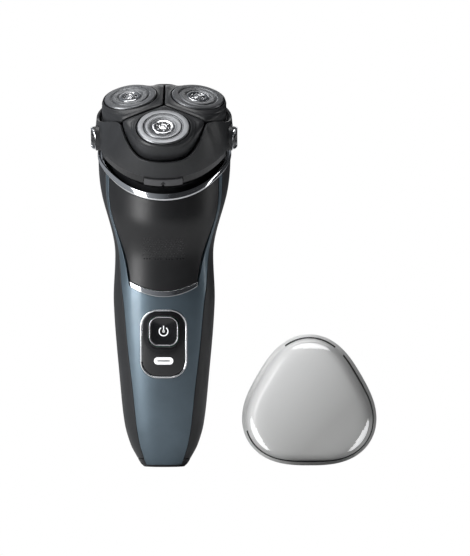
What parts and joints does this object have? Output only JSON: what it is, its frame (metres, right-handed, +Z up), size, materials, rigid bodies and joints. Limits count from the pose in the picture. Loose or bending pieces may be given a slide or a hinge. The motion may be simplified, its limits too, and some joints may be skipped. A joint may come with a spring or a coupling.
{
  "type": "electric shaver",
  "caption": "Upright rotary electric shaver: leaning three-head unit, tapered handle with button panel, and a clear protective cap beside it.",
  "frame": {"origin": "middle of the flat foot, on the plane it stands on", "axes": "+X to the right across the handle, +Y to the back, +Z up the handle; the control panel faces -Y"},
  "size_m": [0.1199, 0.0575, 0.1616],
  "materials": {
    "grip": "soft black grip",
    "black_gloss": "polished piano black",
    "blue": "satin metallic steel blue",
    "bright": "polished plating",
    "charcoal": "satin charcoal",
    "black": "fine matt",
    "steel": "turned steel",
    "light": "milky light window",
    "frame_grey": "moulded",
    "board": "green solder mask",
    "cell": "shrink sleeve",
    "motor": "drawn can",
    "copper": "copper winding",
    "rubber": "seal rubber",
    "gear": "acetal",
    "tab": "satin grey metallic",
    "cap": "smoky clear"
  },
  "bodies": {
    "handle": {"base_cap": "black", "charging_inlet": "black", "inlet_pins": "bright", "rear_grip": "grip", "front_shell": "blue", "front_panel": "black_gloss", "panel_trim": "bright", "collar_ring": "bright", "neck_frame": "black", "control_panel": "black_gloss", "panel_rim": "bright", "status_light": "light", "chassis": "frame_grey", "circuit_board": "board", "board_parts": "black", "switch_housing": "tab", "battery_cell": "cell", "battery_tabs": "bright", "motor_plate": "motor", "plate_screws": "steel", "motor_can": "motor", "motor_end_cap": "board", "shaft_seal": "rubber"},
    "button": {"power_button": "black_gloss", "button_ring": "bright"},
    "plunger": {"switch_plunger": "light"},
    "rotor": {"motor_rotor": "copper"},
    "drive": {"drive_shaft": "steel"},
    "unit": {"hair_chamber": "black", "gear_cover": "frame_grey", "pivot_pins": "steel", "hinge_pin": "steel"},
    "sun": {"sun_gear": "gear"},
    "release": {"release_button": "tab"},
    "head": {"head_shell": "charcoal", "side_cap_right": "bright", "side_cap_left": "bright", "pod_carrier": "black"},
    "spindle_front": {"spindle_front": "steel"},
    "pod_front": {"pod_front": "black", "retainer_front": "frame_grey"},
    "guard_front": {"guard_front": "steel"},
    "cutter_front": {"cutter_front": "steel"},
    "spindle_right": {"spindle_right": "steel"},
    "pod_right": {"pod_right": "black", "retainer_right": "frame_grey"},
    "guard_right": {"guard_right": "steel"},
    "cutter_right": {"cutter_right": "steel"},
    "spindle_left": {"spindle_left": "steel"},
    "pod_left": {"pod_left": "black", "retainer_left": "frame_grey"},
    "guard_left": {"guard_left": "steel"},
    "cutter_left": {"cutter_left": "steel"},
    "cap": {"protective_cap": "cap"}
  },
  "joints": [
    {"name": "power_press", "type": "slide", "parent": "handle", "child": "button", "axis": [0, 1, 0], "range_m": [0, 0.0005], "stiffness_N_per_m": 900, "springref_m": -0.0002},
    {"name": "switch_press", "type": "slide", "parent": "handle", "child": "plunger", "axis": [0, 1, 0], "range_m": [0, 0.0005]},
    {"name": "motor_spin", "type": "hinge", "parent": "handle", "child": "rotor", "pos_m": [0, -0.00194, 0.12041], "axis": [0, -0.5446, 0.8387], "continuous": true},
    {"name": "drive_spin", "type": "hinge", "parent": "handle", "child": "drive", "pos_m": [0, -0.00378, 0.13794], "axis": [0, -0.5446, 0.8387], "continuous": true},
    {"name": "unit_tilt", "type": "hinge", "parent": "handle", "child": "unit", "pos_m": [0, -0.00378, 0.13794], "axis": [1, 0, 0], "range_deg": [-7, 7], "stiffness_Nm_per_rad": 1.5},
    {"name": "sun_spin", "type": "hinge", "parent": "unit", "child": "sun", "pos_m": [0, -0.00378, 0.13794], "axis": [0, -0.5446, 0.8387], "continuous": true},
    {"name": "release_press", "type": "slide", "parent": "unit", "child": "release", "axis": [0, 0.8387, 0.5446], "range_m": [0, 0.0009], "stiffness_N_per_m": 900, "springref_m": -0.0004},
    {"name": "head_open", "type": "hinge", "parent": "unit", "child": "head", "pos_m": [0, 0.02046, 0.14945], "axis": [-1, 0, 0], "range_deg": [0, 95]},
    {"name": "spindle_front_spin", "type": "hinge", "parent": "unit", "child": "spindle_front", "pos_m": [0, -0.01586, 0.12807], "axis": [0, -0.5446, 0.8387], "continuous": true},
    {"name": "pod_front_flex", "type": "hinge", "parent": "head", "child": "pod_front", "pos_m": [0, -0.02195, 0.13745], "axis": [1, 0, 0], "range_deg": [-3, 3], "stiffness_Nm_per_rad": 0.8},
    {"name": "guard_front_float", "type": "slide", "parent": "pod_front", "child": "guard_front", "axis": [0, 0.6665, -0.7455], "range_m": [0, 0.001], "stiffness_N_per_m": 900, "springref_m": -0.0004},
    {"name": "cutter_front_spin", "type": "hinge", "parent": "guard_front", "child": "cutter_front", "pos_m": [0, -0.02587, 0.14183], "axis": [0, -0.6665, 0.7455], "continuous": true},
    {"name": "spindle_right_spin", "type": "hinge", "parent": "unit", "child": "spindle_right", "pos_m": [0.01342, 0.00364, 0.14073], "axis": [0, -0.5446, 0.8387], "continuous": true},
    {"name": "pod_right_flex", "type": "hinge", "parent": "head", "child": "pod_right", "pos_m": [0.01342, -0.00245, 0.15011], "axis": [-0.5, 0.7263, 0.4717], "range_deg": [-3, 3], "stiffness_Nm_per_rad": 0.8},
    {"name": "guard_right_float", "type": "slide", "parent": "pod_right", "child": "guard_right", "axis": [-0.1325, 0.4741, -0.8705], "range_m": [0, 0.001], "stiffness_N_per_m": 900, "springref_m": -0.0004},
    {"name": "cutter_right_spin", "type": "hinge", "parent": "guard_right", "child": "cutter_right", "pos_m": [0.0142, -0.00524, 0.15523], "axis": [0.1325, -0.4741, 0.8705], "continuous": true},
    {"name": "spindle_left_spin", "type": "hinge", "parent": "unit", "child": "spindle_left", "pos_m": [-0.01342, 0.00364, 0.14073], "axis": [0, -0.5446, 0.8387], "continuous": true},
    {"name": "pod_left_flex", "type": "hinge", "parent": "head", "child": "pod_left", "pos_m": [-0.01342, -0.00245, 0.15011], "axis": [-0.5, -0.7263, -0.4717], "range_deg": [-3, 3], "stiffness_Nm_per_rad": 0.8},
    {"name": "guard_left_float", "type": "slide", "parent": "pod_left", "child": "guard_left", "axis": [0.1325, 0.4741, -0.8705], "range_m": [0, 0.001], "stiffness_N_per_m": 900, "springref_m": -0.0004},
    {"name": "cutter_left_spin", "type": "hinge", "parent": "guard_left", "child": "cutter_left", "pos_m": [-0.0142, -0.00524, 0.15523], "axis": [-0.1325, -0.4741, 0.8705], "continuous": true},
    {"name": "cap_lift", "type": "slide", "parent": "handle", "child": "cap", "axis": [0, 0, 1], "range_m": [0, 0.06]}
  ],
  "couplings": [
    {"joint": "switch_press", "follows": "power_press", "ratio": 1},
    {"joint": "drive_spin", "follows": "motor_spin", "ratio": -0.45455},
    {"joint": "sun_spin", "follows": "motor_spin", "ratio": -0.45455},
    {"joint": "spindle_front_spin", "follows": "motor_spin", "ratio": 0.42614},
    {"joint": "cutter_front_spin", "follows": "motor_spin", "ratio": 0.42614},
    {"joint": "spindle_right_spin", "follows": "motor_spin", "ratio": 0.42614},
    {"joint": "cutter_right_spin", "follows": "motor_spin", "ratio": 0.42614},
    {"joint": "spindle_left_spin", "follows": "motor_spin", "ratio": 0.42614},
    {"joint": "cutter_left_spin", "follows": "motor_spin", "ratio": 0.42614}
  ]
}
